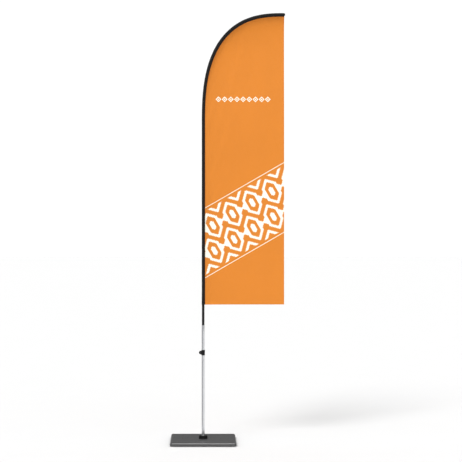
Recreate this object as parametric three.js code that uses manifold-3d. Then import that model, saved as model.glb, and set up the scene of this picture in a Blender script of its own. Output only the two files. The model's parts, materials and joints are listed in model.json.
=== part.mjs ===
// A free-standing feather flag: a weighted square base with a ball-bearing hub, a two-part mast
// that plugs onto the hub's spindle, a clamp on the lower pole, and a flag on an arched tip rod.
// Millimetres, +Z up. The origin is on the floor under the mast, and the flag lies in the XZ plane.

import * as THREE from 'three';
import { mergeVertices } from 'three/addons/utils/BufferGeometryUtils.js';
import Module from 'manifold-3d';

const wasm = await Module();
wasm.setup();

// ---- driving dimensions ----

const GAP = 0.3; // between pieces that rest on each other
const FIT = 0.2; // radial clearance of a push fit

const BASE_SIDE = 400;
const BASE_CORNER = 18; // plan radius of the corners
const BASE_TOP = 21;
const TOP_FILLET = 8;
const BOTTOM_FILLET = 3.5;
const SHELL = 2.6; // wall of the two base shells
const SEAM_Z = 6.5; // where the shells meet
const FOOT_HEIGHT = 2;
const FOOT_REACH = 165; // of a foot's centre from the axes
const SCREW_REACH = 120; // of a cover screw from the axes
const PLATE_SIDE = 374;
const PLATE_LOW = 10;

const HUB_TOP = 39;
const COLLAR_RADIUS = 26.5;
const BOSS_RADIUS = 20;
const BEARING = { bore: 6, inner: 8, outer: 12, rim: 14, width: 8, balls: 8, ball: 2.3 };
const LOWER_BEARING_Z = 10.2;
const UPPER_BEARING_Z = 27.8;
const SPIGOT_TOP = 215;
const O_RING_HEIGHTS = [70, 130, 190];

const POLE_RADIUS = 9; // the silver lower pole
const POLE_BORE = 8.1;
const POLE_LOW = 40.9;
const POLE_TOP = 716;
const MIDDLE_RADIUS = 7.9; // the black middle pole
const MIDDLE_BORE = 6.5;
const MIDDLE_LOW = 613;
const MIDDLE_TOP = 1500;

const ARC_START_Z = 1963; // the mast is straight below this
const ARC_TOP_Z = 2618; // centreline of the level end
const ARC_REACH = 492;
const ARC_POWER = 2.6; // superellipse exponent of the arch
const ARC_STEPS = 20;
const ROD_LOW = 1455;
const ROD_END_X = 494;
const CAP_END_X = 502;

const FLAG_LOW = 841;
const FLAG_RIGHT = 497;
const FLAG_THICKNESS = 1;
const SLEEVE_WALL = 0.4;
const SLEEVE_STRAIGHT = { width: 8.5, depth: 8.5 }; // half sizes around the straight pole
const SLEEVE_ARCH = { width: 9.5, depth: 6 }; // half sizes where the sleeve lies flat on the arch

const CLAMP_Z = 547;
const CLAMP_HEIGHT = 32;
const CLAMP_RADIUS = 10.5;
const LUG_RADIUS = 10.3;
const LUG_X = -15.6;
const LUG_HALF_DEPTH = 8;

const ROUND = 20; // facets of a small turned piece
const SMOOTH = 28; // facets of the larger round pieces

// ---- materials ----

const FINISHES = {
  baseShell: { color: 0x5c5c5d, roughness: 0.45, metalness: 0 },
  blackPlastic: { color: 0x1c1c1d, roughness: 0.5, metalness: 0 },
  rubber: { color: 0x181818, roughness: 0.85, metalness: 0 },
  castIron: { color: 0x3b3b3c, roughness: 0.8, metalness: 1 },
  steel: { color: 0xb4b6b8, roughness: 0.3, metalness: 1 },
  aluminium: { color: 0xd2d3d5, roughness: 0.35, metalness: 1 },
  blackTube: { color: 0x202021, roughness: 0.4, metalness: 0 },
  sleeveCloth: { color: 0x282828, roughness: 0.9, metalness: 0 },
  flagCloth: { color: 0xee923d, roughness: 0.85, metalness: 0 },
};

const flag = new THREE.Group();

function place(name, finish, geometry, [x, y, z] = [0, 0, 0], rotation = [0, 0, 0]) {
  const mesh = new THREE.Mesh(geometry, new THREE.MeshStandardMaterial(FINISHES[finish]));
  mesh.name = name;
  mesh.position.set(x, y, z);
  mesh.rotation.set(...rotation);
  flag.add(mesh);
}

// ---- solids ----

// Position-only geometry with shared vertices, no collapsed triangles and its faces pointing out.
function clean(geometry) {
  const bare = geometry.clone();
  bare.deleteAttribute('normal');
  bare.deleteAttribute('uv');
  const merged = mergeVertices(bare, 1e-4);
  const at = merged.attributes.position;
  const corner = [new THREE.Vector3(), new THREE.Vector3(), new THREE.Vector3()];
  const triangles = [];
  let volume = 0;
  for (let i = 0; i < merged.index.count; i += 3) {
    const [a, b, c] = [0, 1, 2].map((k) => merged.index.getX(i + k));
    if (a === b || b === c || c === a) continue;
    [a, b, c].forEach((v, k) => corner[k].fromBufferAttribute(at, v));
    volume += corner[0].dot(corner[1].clone().cross(corner[2]));
    triangles.push([a, b, c]);
  }
  merged.setIndex(triangles.flatMap(([a, b, c]) => (volume < 0 ? [a, c, b] : [a, b, c])));
  return merged;
}

function toSolid(geometry) {
  const { attributes, index } = clean(geometry);
  return new wasm.Manifold(new wasm.Mesh({
    numProp: 3,
    vertProperties: new Float32Array(attributes.position.array),
    triVerts: new Uint32Array(index.array),
  }));
}

function toGeometry(solid) {
  const { vertProperties, triVerts } = solid.getMesh();
  const geometry = new THREE.BufferGeometry();
  geometry.setAttribute('position', new THREE.BufferAttribute(vertProperties, 3));
  geometry.setIndex(new THREE.BufferAttribute(triVerts, 1));
  return geometry;
}

const join = (...parts) => parts.map(toSolid).reduce((all, part) => all.add(part));
const cut = (solid, ...tools) => tools.map(toSolid).reduce((left, tool) => left.subtract(tool), solid);

// A turned piece about Z from [radius, height] points. A profile off the axis closes on itself.
function turned(profile, segments = ROUND) {
  const points = profile.map(([r, z]) => new THREE.Vector2(r, z));
  if (profile[0][0] > 0) points.push(points[0].clone());
  return clean(new THREE.LatheGeometry(points, segments).rotateX(Math.PI / 2));
}

const rod = (radius, low, high, segments = ROUND) =>
  turned([[0, low], [radius, low], [radius, high], [0, high]], segments);

const ring = (inner, outer, low, high, segments = ROUND) =>
  turned([[inner, low], [outer, low], [outer, high], [inner, high]], segments);

function roundedSquare(side, radius) {
  const h = side / 2;
  const shape = new THREE.Shape();
  shape.moveTo(h, -h + radius);
  shape.lineTo(h, h - radius);
  shape.absarc(h - radius, h - radius, radius, 0, Math.PI / 2);
  shape.lineTo(-h + radius, h);
  shape.absarc(-h + radius, h - radius, radius, Math.PI / 2, Math.PI);
  shape.lineTo(-h, -h + radius);
  shape.absarc(-h + radius, -h + radius, radius, Math.PI, Math.PI * 1.5);
  shape.lineTo(h - radius, -h);
  shape.absarc(h - radius, -h + radius, radius, Math.PI * 1.5, Math.PI * 2);
  return shape;
}

// A square block with rounded corners, and with both rims filleted if fillet is given.
function block(side, corner, low, high, fillet = 0, filletSteps = 2) {
  const geometry = new THREE.ExtrudeGeometry(roundedSquare(side - 2 * fillet, corner - fillet), {
    depth: high - low - 2 * fillet,
    curveSegments: 3,
    bevelEnabled: fillet > 0,
    bevelThickness: fillet,
    bevelSize: fillet,
    bevelSegments: filletSteps,
  });
  return geometry.translate(0, 0, low + fillet);
}

function hexagon(radius) {
  const corners = [0, 1, 2, 3, 4, 5].map((k) => k * Math.PI / 3);
  return new THREE.Shape(corners.map((a) => new THREE.Vector2(radius * Math.cos(a), radius * Math.sin(a))));
}

const hexBar = (radius, low, high) =>
  new THREE.ExtrudeGeometry(hexagon(radius), { depth: high - low, bevelEnabled: false })
    .translate(0, 0, low);

// A hexagon nut standing on z = 0.
function nut(radius, bore, height) {
  return toGeometry(cut(toSolid(hexBar(radius, 0, height)), rod(bore, -1, height + 1)));
}

// A socket-head screw along +Z: the head's outer face is at z = 0, and the shank points up.
function screw({ head, headHeight, shank, length }) {
  const body = join(rod(head, 0, headHeight, 12), rod(shank, headHeight - 0.5, length, 8));
  return toGeometry(cut(body, hexBar(head * 0.5, -1, headHeight * 0.6)));
}

const fourCorners = (reach) => [[1, 1], [-1, 1], [-1, -1], [1, -1]].map(([x, y]) => [x * reach, y * reach]);

// ---- base ----

function buildBase() {
  const slice = (low, high) =>
    new THREE.BoxGeometry(2 * BASE_SIDE, 2 * BASE_SIDE, high - low).translate(0, 0, (low + high) / 2);
  const pillars = fourCorners(SCREW_REACH);
  const coverLow = SEAM_Z + GAP / 2;
  const panLow = FOOT_HEIGHT + GAP;
  const panHigh = SEAM_Z - GAP / 2;
  const panFloor = panLow + 2.5;
  const inside = BASE_SIDE - 2 * SHELL;

  let cover = toSolid(block(BASE_SIDE, BASE_CORNER, -40, BASE_TOP, TOP_FILLET, 4))
    .intersect(toSolid(slice(coverLow, 2 * BASE_TOP)));
  const cavity = block(inside, BASE_CORNER - SHELL, -40, BASE_TOP - SHELL, TOP_FILLET - SHELL);
  cover = cut(cover, cavity, rod(BOSS_RADIUS + GAP, 0, 40, SMOOTH));
  for (const [x, y] of pillars) {
    cover = cover.add(toSolid(rod(5, 8, BASE_TOP - SHELL / 2, 10).translate(x, y, 0)));
    cover = cut(cover, rod(1.7, 0, 17, 8).translate(x, y, 0));
  }
  place('base_cover', 'baseShell', toGeometry(cover));

  const lipSide = inside - 2 * GAP;
  let pan = toSolid(block(BASE_SIDE, BASE_CORNER, panLow, 60, BOTTOM_FILLET))
    .intersect(toSolid(slice(0, panHigh)))
    .add(toSolid(block(lipSide, BASE_CORNER - SHELL - GAP, panFloor - 1, PLATE_LOW - GAP)));
  pan = cut(pan, block(lipSide - 4, BASE_CORNER - SHELL - 2, panFloor, 60), rod(9, 0, 40));
  for (const [x, y] of pillars) {
    pan = pan.add(toSolid(rod(7, panLow + 0.5, 7.7, 10).translate(x, y, 0)));
    pan = cut(pan, rod(3.6, 0, 5, 10).translate(x, y, 0), rod(2, 0, 20, 8).translate(x, y, 0));
  }
  for (const [x, y] of fourCorners(FOOT_REACH)) {
    pan = cut(pan, rod(4.3, 0, 20, 12).translate(x, y, 0));
  }
  place('base_pan', 'baseShell', toGeometry(pan));

  let plate = toSolid(block(PLATE_SIDE, 8, PLATE_LOW, BASE_TOP - SHELL - GAP));
  plate = cut(plate, rod(BOSS_RADIUS + 0.4, 0, 40, SMOOTH));
  for (const [x, y] of pillars) plate = cut(plate, rod(5.8, 0, 40, 10).translate(x, y, 0));
  place('ballast_plate', 'castIron', toGeometry(plate));

  pillars.forEach(([x, y], i) => {
    const size = { head: 3.2, headHeight: 2.1, shank: 1.5, length: 13.5 };
    place(`cover_screw_${i + 1}`, 'steel', screw(size), [x, y, FOOT_HEIGHT + 0.7]);
  });
  const foot = (pad, stem) => turned([
    [0, 0], [pad - 0.6, 0], [pad, 0.6], [pad, FOOT_HEIGHT], [stem, FOOT_HEIGHT], [stem, 4.5], [0, 4.5],
  ], 16);
  fourCorners(FOOT_REACH).forEach(([x, y], i) => {
    place(`rubber_foot_${i + 1}`, 'rubber', foot(12, 3.8), [x, y, 0]);
  });
  place('centre_plug', 'rubber', foot(14, 8.6));
}

// ---- hub and its two ball bearings ----

function outerRace() {
  const { outer, rim, width } = BEARING;
  const middle = width / 2;
  const groove = [[outer, middle + 1.6], [outer + 0.65, middle], [outer, middle - 1.6]];
  return turned([[outer, 0], [rim, 0], [rim, width], [outer, width], ...groove]);
}

function innerRace() {
  const { bore, inner, width } = BEARING;
  const middle = width / 2;
  const groove = [[inner, middle - 1.6], [inner - 0.65, middle], [inner, middle + 1.6]];
  return turned([[bore, 0], [inner, 0], ...groove, [inner, width], [bore, width]]);
}

// The balls and the cage that spaces them turn together, so they are one solid.
function ballCage() {
  const { inner, outer, width, balls, ball } = BEARING;
  const pitch = (inner + outer) / 2;
  const spheres = Array.from({ length: balls }, (_, i) => {
    const angle = (i * 2 * Math.PI) / balls;
    return new THREE.OctahedronGeometry(ball, 1)
      .translate(pitch * Math.cos(angle), pitch * Math.sin(angle), width / 2);
  });
  return toGeometry(join(ring(pitch - 0.5, pitch + 0.5, width / 2 - 1.5, width / 2 + 1.5), ...spheres));
}

function buildHub() {
  const { rim, outer, width, bore, inner } = BEARING;
  const seat = rim + FIT;
  const land = outer + 0.4;
  place('hub_housing', 'blackPlastic', turned([
    [seat, SEAM_Z], [BOSS_RADIUS, SEAM_Z], [BOSS_RADIUS, BASE_TOP + GAP],
    [COLLAR_RADIUS, BASE_TOP + GAP], [COLLAR_RADIUS, HUB_TOP - 1], [COLLAR_RADIUS - 1, HUB_TOP],
    [seat, HUB_TOP], [seat, UPPER_BEARING_Z - FIT], [land, UPPER_BEARING_Z - FIT],
    [land, LOWER_BEARING_Z + width + FIT], [seat, LOWER_BEARING_Z + width + FIT],
  ], SMOOTH));
  place('hub_nut', 'steel', nut(28, BOSS_RADIUS + GAP, 3.1), [0, 0, PLATE_LOW - GAP - 3.1]);
  place('dust_seal', 'rubber', ring(inner + 0.5, rim, HUB_TOP - 2.8, HUB_TOP - 0.4));
  for (const [side, z] of [['lower', LOWER_BEARING_Z], ['upper', UPPER_BEARING_Z]]) {
    place(`${side}_outer_race`, 'steel', outerRace(), [0, 0, z]);
    place(`${side}_inner_race`, 'steel', innerRace(), [0, 0, z]);
    place(`${side}_ball_cage`, 'steel', ballCage(), [0, 0, z]);
  }
  const spacerLow = LOWER_BEARING_Z + width + FIT;
  place('bearing_spacer', 'steel', ring(bore, inner - 0.4, spacerLow, UPPER_BEARING_Z - FIT));
}

function buildSpindle() {
  const journal = BEARING.bore - FIT;
  const spigot = POLE_BORE - GAP;
  const shoulder = UPPER_BEARING_Z + BEARING.width + GAP;
  const groove = (z) => [[spigot, z - 1], [spigot - 1.2, z - 1], [spigot - 1.2, z + 1], [spigot, z + 1]];
  place('spindle', 'steel', turned([
    [0, 36], [2.6, 34.5], [2.6, LOWER_BEARING_Z], [journal, LOWER_BEARING_Z], [journal, shoulder],
    [BEARING.inner, shoulder], [BEARING.inner, HUB_TOP + 0.4], [10.5, HUB_TOP + 0.4],
    [10.5, POLE_LOW - GAP], [spigot, POLE_LOW - GAP], ...O_RING_HEIGHTS.flatMap(groove),
    [spigot, SPIGOT_TOP - 2], [spigot - 1.5, SPIGOT_TOP], [0, SPIGOT_TOP],
  ]));
  const ringRadius = spigot - 0.52;
  const section = [0, 1, 2, 3, 4, 5].map((k) => k * Math.PI / 3)
    .map((a) => [ringRadius + 0.6 * Math.cos(a), 0.6 * Math.sin(a)]);
  O_RING_HEIGHTS.forEach((z, i) => place(`o_ring_${i + 1}`, 'rubber', turned(section), [0, 0, z]));

  const washerLow = LOWER_BEARING_Z - GAP - 1;
  place('retaining_washer', 'steel', ring(2.9, 9, washerLow, washerLow + 1));
  const size = { head: 4.6, headHeight: 3, shank: 2.4, length: 25 };
  place('retaining_screw', 'steel', screw(size), [0, 0, washerLow - GAP - 3]);
}

// ---- mast ----

// Places along the arch's centreline: the point, and the unit normal towards the outside.
// angle runs from 0 where the mast is upright to a quarter turn where it is level.
function archStation(angle) {
  const sine = Math.sin(angle);
  const cosine = Math.max(0, Math.cos(angle));
  const rise = ARC_TOP_Z - ARC_START_Z;
  const tangent = new THREE.Vector2(
    ARC_REACH * sine ** (2 - 2 / ARC_POWER),
    rise * cosine ** (2 - 2 / ARC_POWER),
  ).normalize();
  return {
    x: ARC_REACH * (1 - cosine ** (2 / ARC_POWER)),
    z: ARC_START_Z + rise * sine ** (2 / ARC_POWER),
    normal: [-tangent.y, tangent.x],
    turn: angle / (Math.PI / 2),
  };
}

// The whole centreline from a height on the straight mast to an x on the level end.
function mastLine(low, endX) {
  const arch = Array.from({ length: ARC_STEPS + 1 }, (_, i) => archStation((i / ARC_STEPS) * Math.PI / 2));
  const foot = { x: 0, z: low, normal: [-1, 0], turn: 0 };
  const end = { x: endX, z: ARC_TOP_Z, normal: [0, 1], turn: 1 };
  return [foot, ...arch, end];
}

// One ring of points around a station of the centreline.
function sectionRing({ x, z, normal }, width, depth, sides) {
  return Array.from({ length: sides }, (_, k) => {
    const angle = (k * 2 * Math.PI) / sides;
    const across = width * Math.cos(angle);
    return [x + normal[0] * across, depth * Math.sin(angle), z + normal[1] * across];
  });
}

// Joins rings of equally many points into one skin that closes on itself.
function skinned(rings) {
  const sides = rings[0].length;
  const index = [];
  for (let r = 0; r < rings.length; r += 1) {
    const next = (r + 1) % rings.length;
    for (let k = 0; k < sides; k += 1) {
      const [a, b] = [r * sides + k, r * sides + ((k + 1) % sides)];
      const [c, d] = [next * sides + k, next * sides + ((k + 1) % sides)];
      index.push(a, b, d, a, d, c);
    }
  }
  const geometry = new THREE.BufferGeometry();
  geometry.setAttribute('position', new THREE.Float32BufferAttribute(rings.flat(2), 3));
  geometry.setIndex(index);
  return clean(geometry);
}

// The sleeve's half sizes: round on the straight pole, and flatter along the arch.
function sleeveSize({ turn }) {
  const share = THREE.MathUtils.smoothstep(turn, 0, 0.5);
  return {
    width: THREE.MathUtils.lerp(SLEEVE_STRAIGHT.width, SLEEVE_ARCH.width, share),
    depth: THREE.MathUtils.lerp(SLEEVE_STRAIGHT.depth, SLEEVE_ARCH.depth, share),
  };
}

function buildLowerMast() {
  place('lower_pole', 'aluminium', ring(POLE_BORE, POLE_RADIUS, POLE_LOW, POLE_TOP, SMOOTH));
  const stopHigh = MIDDLE_LOW - GAP;
  place('depth_stop', 'blackPlastic', ring(5.5, POLE_BORE - FIT, stopHigh - 7, stopHigh));
}

function buildUpperMast() {
  place('middle_pole', 'blackTube', ring(MIDDLE_BORE, MIDDLE_RADIUS, MIDDLE_LOW, MIDDLE_TOP, SMOOTH));

  const socket = 4.8;
  const ferruleLow = ROD_LOW - 35;
  place('pole_ferrule', 'steel', turned([
    [0, ROD_LOW - GAP], [socket, ROD_LOW - GAP], [socket, MIDDLE_TOP + 70],
    [socket + 1, MIDDLE_TOP + 70], [MIDDLE_RADIUS, MIDDLE_TOP + 8], [MIDDLE_RADIUS, MIDDLE_TOP + GAP],
    [MIDDLE_BORE - FIT, MIDDLE_TOP + GAP], [MIDDLE_BORE - FIT, ferruleLow], [0, ferruleLow],
  ]));

  const line = mastLine(ROD_LOW, ROD_END_X);
  const rodRadius = (turn) => THREE.MathUtils.lerp(4.5, 2.5, turn);
  const point = ({ x, z }) => Array.from({ length: 8 }, () => [x, 0, z]);
  const rodRings = line.map((station) => {
    const radius = rodRadius(station.turn);
    return sectionRing(station, radius, radius, 8);
  });
  place('tip_rod', 'blackTube', skinned([point(line[0]), ...rodRings, point(line.at(-1))]));

  const capLow = FLAG_RIGHT + GAP;
  const cap = turned([
    [0, ROD_END_X + GAP], [2.8, ROD_END_X + GAP], [2.8, ROD_END_X - 14], [4.8, ROD_END_X - 14],
    [4.8, capLow], [7.2, capLow], [7.2, CAP_END_X - 1], [6.2, CAP_END_X], [0, CAP_END_X],
  ], 16);
  place('tip_cap', 'blackPlastic', cap, [0, 0, ARC_TOP_Z], [0, Math.PI / 2, 0]);
}

// ---- sleeve and flag ----

function buildFlag() {
  const line = mastLine(FLAG_LOW, FLAG_RIGHT);
  const skin = (inset) => line.map((station) => {
    const { width, depth } = sleeveSize(station);
    return sectionRing(station, width - inset, depth - inset, 16);
  });
  place('pole_sleeve', 'sleeveCloth', skinned([...skin(0), ...skin(SLEEVE_WALL).reverse()]));

  const seam = line.map((station) => {
    const reach = sleeveSize(station).width + GAP;
    return new THREE.Vector2(station.x - station.normal[0] * reach, station.z - station.normal[1] * reach);
  });
  const outline = new THREE.Shape([...seam, new THREE.Vector2(FLAG_RIGHT, FLAG_LOW)]);
  const panel = new THREE.ExtrudeGeometry(outline, { depth: FLAG_THICKNESS, bevelEnabled: false });
  place('flag_panel', 'flagCloth', clean(panel.rotateX(Math.PI / 2)), [0, FLAG_THICKNESS / 2, 0]);
}

// ---- clamp ----

// The lug as seen from the front: a round nose that flares to the collar's full height.
function lugOutline() {
  const half = CLAMP_HEIGHT / 2;
  const lean = 0.75 * Math.PI / 2; // where the flare leaves the nose
  const noseX = LUG_X + LUG_RADIUS * Math.cos(lean);
  const noseZ = LUG_RADIUS * Math.sin(lean);
  const shape = new THREE.Shape();
  shape.moveTo(0, -half);
  shape.lineTo(0, half);
  shape.lineTo(-5, half);
  shape.quadraticCurveTo(-8, half, noseX, noseZ);
  shape.absarc(LUG_X, 0, LUG_RADIUS, lean, 2 * Math.PI - lean);
  shape.quadraticCurveTo(-8, -half, -5, -half);
  return shape;
}

function buildClamp() {
  const half = CLAMP_HEIGHT / 2;
  const lip = 3.5;
  const depth = 2 * LUG_HALF_DEPTH;
  const across = (geometry, x = 0) => geometry.rotateX(-Math.PI / 2).translate(x, 0, 0);
  const lug = new THREE.ExtrudeGeometry(lugOutline(), { depth, curveSegments: 6, bevelEnabled: false })
    .rotateX(Math.PI / 2)
    .translate(0, LUG_HALF_DEPTH, 0);
  const body = join(
    rod(CLAMP_RADIUS, -half, half, SMOOTH),
    rod(CLAMP_RADIUS + 1, -half, lip - half, SMOOTH),
    rod(CLAMP_RADIUS + 1, half - lip, half, SMOOTH),
    lug,
  );
  const slit = new THREE.BoxGeometry(40, 2.4, 2 * CLAMP_HEIGHT).translate(-20, 0, 0);
  const clamp = cut(
    body,
    rod(POLE_RADIUS + GAP, -40, 40, SMOOTH),
    slit,
    across(rod(2.3, -20, 20, 12), LUG_X),
    across(rod(4, -20, 1.7 - LUG_HALF_DEPTH, 12), LUG_X),
    across(hexBar(4.3, LUG_HALF_DEPTH - 2.6, 20), LUG_X),
  );
  place('clamp_body', 'blackPlastic', toGeometry(clamp), [0, 0, CLAMP_Z]);

  const size = { head: 3.6, headHeight: 2, shank: 2, length: 15.6 };
  place('clamp_screw', 'steel', screw(size), [LUG_X, -LUG_HALF_DEPTH - 0.6, CLAMP_Z], [-Math.PI / 2, 0, 0]);
  place('clamp_nut', 'steel', nut(4, 2.2, 2.2), [LUG_X, LUG_HALF_DEPTH - 2.3, CLAMP_Z], [-Math.PI / 2, 0, 0]);
}

buildBase();
buildHub();
buildSpindle();
buildLowerMast();
buildUpperMast();
buildFlag();
buildClamp();

export default flag;
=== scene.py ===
# Looks of a free-standing feather flag: a weighted base with a swivel hub, a two-part mast with a
# clamp, and a printed flag on an arched sleeve. Metres, +Z up, and the flag lies in the XZ plane.

import json
import math

import bmesh
import bpy
import numpy as np
from mathutils import Matrix, Vector, geometry, noise
from mathutils.bvhtree import BVHTree


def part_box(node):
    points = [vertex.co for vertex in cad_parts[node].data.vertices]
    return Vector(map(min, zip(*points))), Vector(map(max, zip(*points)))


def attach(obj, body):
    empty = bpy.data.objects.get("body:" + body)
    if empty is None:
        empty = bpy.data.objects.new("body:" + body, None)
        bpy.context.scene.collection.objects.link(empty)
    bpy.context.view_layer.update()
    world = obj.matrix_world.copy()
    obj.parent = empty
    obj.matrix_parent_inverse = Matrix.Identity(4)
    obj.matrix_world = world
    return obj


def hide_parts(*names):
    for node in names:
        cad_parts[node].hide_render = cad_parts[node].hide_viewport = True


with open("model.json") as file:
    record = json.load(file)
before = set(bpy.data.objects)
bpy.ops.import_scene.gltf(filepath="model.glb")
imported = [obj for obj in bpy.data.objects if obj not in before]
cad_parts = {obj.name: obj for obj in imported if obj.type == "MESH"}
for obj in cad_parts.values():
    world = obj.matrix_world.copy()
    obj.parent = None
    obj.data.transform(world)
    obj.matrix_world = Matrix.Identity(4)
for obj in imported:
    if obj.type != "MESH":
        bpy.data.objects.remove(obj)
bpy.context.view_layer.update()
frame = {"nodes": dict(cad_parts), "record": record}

MM = 0.001
TAU = 2 * math.pi

# ---- the arched line that the mast and the sleeve follow ----

ARC_START_Z = 1.963
ARC_TOP_Z = 2.618
ARC_REACH = 0.492
ARC_POWER = 2.6
SLEEVE_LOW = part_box("pole_sleeve")[0].z
FLAG_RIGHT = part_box("flag_panel")[1].x


def arch_point(angle):
    """(x, z) on the arch, from upright at 0 to level at a quarter turn."""
    sine, cosine = math.sin(angle), max(0.0, math.cos(angle))
    rise = ARC_TOP_Z - ARC_START_Z
    return ARC_REACH * (1 - cosine ** (2 / ARC_POWER)), ARC_START_Z + rise * sine ** (2 / ARC_POWER)


def run_along(points):
    """How far each point of a line is from the line's start, along the line."""
    return np.concatenate([[0], np.cumsum(np.linalg.norm(np.diff(points, axis=0), axis=1))])


def mast_line(spacing):
    """Evenly spaced stations from the sleeve's foot to its tip.

    Gives their points, outward normals, lengths from the foot, and turns: 0 upright, 1 level.
    """
    fine = [(0.0, SLEEVE_LOW)] + [arch_point(a) for a in np.linspace(0, math.pi / 2, 1500)]
    fine = np.array(fine + [(FLAG_RIGHT, ARC_TOP_Z)])
    run = run_along(fine)
    along = np.linspace(0, run[-1], round(run[-1] / spacing) + 1)
    points = np.stack([np.interp(along, run, fine[:, 0]), np.interp(along, run, fine[:, 1])], 1)
    tangent = np.gradient(points, axis=0)
    tangent /= np.linalg.norm(tangent, axis=1)[:, None]
    turn = 1 - np.abs(np.arctan2(tangent[:, 1], tangent[:, 0])) / (math.pi / 2)
    return points, np.stack([-tangent[:, 1], tangent[:, 0]], 1), along, np.clip(turn, 0, 1)


def smooth_step(value, low, high):
    t = np.clip((value - low) / (high - low), 0, 1)
    return t * t * (3 - 2 * t)


def sleeve_half(turn):
    """The sleeve's half width and half depth: round on the straight mast, flatter on the arch."""
    share = smooth_step(turn, 0, 0.45)
    on_mast, wider, flatter = 8.5 * MM, 1 * MM, 2.5 * MM
    return on_mast + wider * share, on_mast - flatter * share


# ---- meshes ----


def mesh_piece(name, points, faces, uv=None, sharp=35):
    """An object from points and faces, its faces turned outward and its gentle edges smooth."""
    mesh = bpy.data.meshes.new(name)
    mesh.from_pydata([tuple(map(float, p)) for p in points], [], faces)
    if uv is not None:
        layer = mesh.uv_layers.new(name="Strip")
        layer.data.foreach_set("uv", np.array(uv, np.float32).ravel())
    body = bmesh.new()
    body.from_mesh(mesh)
    bmesh.ops.remove_doubles(body, verts=body.verts, dist=1e-6)
    bmesh.ops.recalc_face_normals(body, faces=body.faces)
    body.to_mesh(mesh)
    body.free()
    piece = bpy.data.objects.new(name, mesh)
    bpy.context.scene.collection.objects.link(piece)
    soften(piece, sharp)
    return piece


def soften(piece, sharp=35):
    piece.data.shade_smooth()
    piece.data.set_sharp_from_angle(angle=math.radians(sharp))


def settle(piece):
    """Turns the piece's modifiers into its mesh."""
    graph = bpy.context.evaluated_depsgraph_get()
    mesh = bpy.data.meshes.new_from_object(
        piece.evaluated_get(graph), preserve_all_data_layers=True, depsgraph=graph
    )
    piece.modifiers.clear()
    piece.data = mesh
    return piece


def modify(piece, kind, **settings):
    modifier = piece.modifiers.new(kind, kind)
    for name, value in settings.items():
        setattr(modifier, name, value)
    return settle(piece)


def carve(piece, tool, operation="DIFFERENCE"):
    modify(piece, "BOOLEAN", operation=operation, object=tool, solver="EXACT")
    bpy.data.objects.remove(tool)
    return piece


def shift(piece, x=0.0, y=0.0, z=0.0):
    piece.data.transform(Matrix.Translation((x, y, z)))
    return piece


def skin(name, rings, loop=False, caps=True, uv=None, sharp=35):
    """Skins rings of equally many points. loop joins the last ring to the first."""
    count, sides = len(rings), len(rings[0])
    faces, corners = [], []
    for r in range(count if loop else count - 1):
        for k in range(sides):
            a, b = r * sides + k, r * sides + (k + 1) % sides
            step = ((r + 1) % count - r) * sides
            faces.append((a, b, b + step, a + step))
            if uv is not None:
                around, along = uv
                corners += [
                    (around[k], along[r]), (around[k + 1], along[r]),
                    (around[k + 1], along[r + 1]), (around[k], along[r + 1]),
                ]
    if caps and not loop:
        faces.append(tuple(reversed(range(sides))))
        faces.append(tuple(range((count - 1) * sides, count * sides)))
    return mesh_piece(name, np.concatenate(rings), faces, corners or None, sharp)


def rounded(profile, radius, closed=True, steps=4):
    """The profile with each corner turned into a small curve."""
    points = [np.array(p, float) for p in profile]
    result = []
    for i, p in enumerate(points):
        if not closed and i in (0, len(points) - 1):
            result.append(p)
            continue
        before, after = points[i - 1] - p, points[(i + 1) % len(points)] - p
        long_before, long_after = np.linalg.norm(before), np.linalg.norm(after)
        reach = min(radius, 0.45 * long_before, 0.45 * long_after)
        start, end = p + before / long_before * reach, p + after / long_after * reach
        for s in np.linspace(0, 1, steps + 1):
            result.append((1 - s) ** 2 * start + 2 * s * (1 - s) * p + s * s * end)
    return result


def circle(radius, z, sides=64):
    angles = np.arange(sides) * TAU / sides
    return np.stack([radius * np.cos(angles), radius * np.sin(angles), np.full(sides, z)], 1)


def hexagon(radius, z, sides=48):
    """A hexagon of that corner radius, with as many points as a circle."""
    angles = np.arange(sides) * TAU / sides
    reach = radius * math.cos(math.pi / 6) / np.cos(angles % (TAU / 6) - math.pi / 6)
    return np.stack([reach * np.cos(angles), reach * np.sin(angles), np.full(sides, z)], 1)


def turned(name, profile, radius=0.3 * MM, sides=64, closed=True):
    """A piece turned about Z from [radius, height] points, its corners rounded."""
    rings = [circle(r, z, sides) for r, z in rounded(profile, radius, closed)]
    return skin(name, rings, loop=closed, caps=False)


def lay_along(piece, axis):
    """Turns a piece made along +Z so that it lies along +X or +Y."""
    turn = {"x": Vector((1, 0, 0)), "y": Vector((0, 1, 0))}[axis]
    piece.data.transform(Vector((0, 0, 1)).rotation_difference(turn).to_matrix().to_4x4())
    return piece


def prism(name, outline, low, high):
    """An outline in XZ given depth along Y."""
    rings = [np.array([(x, y, z) for x, z in outline]) for y in (low, high)]
    return skin(name, rings, sharp=30)


# ---- materials ----


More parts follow.
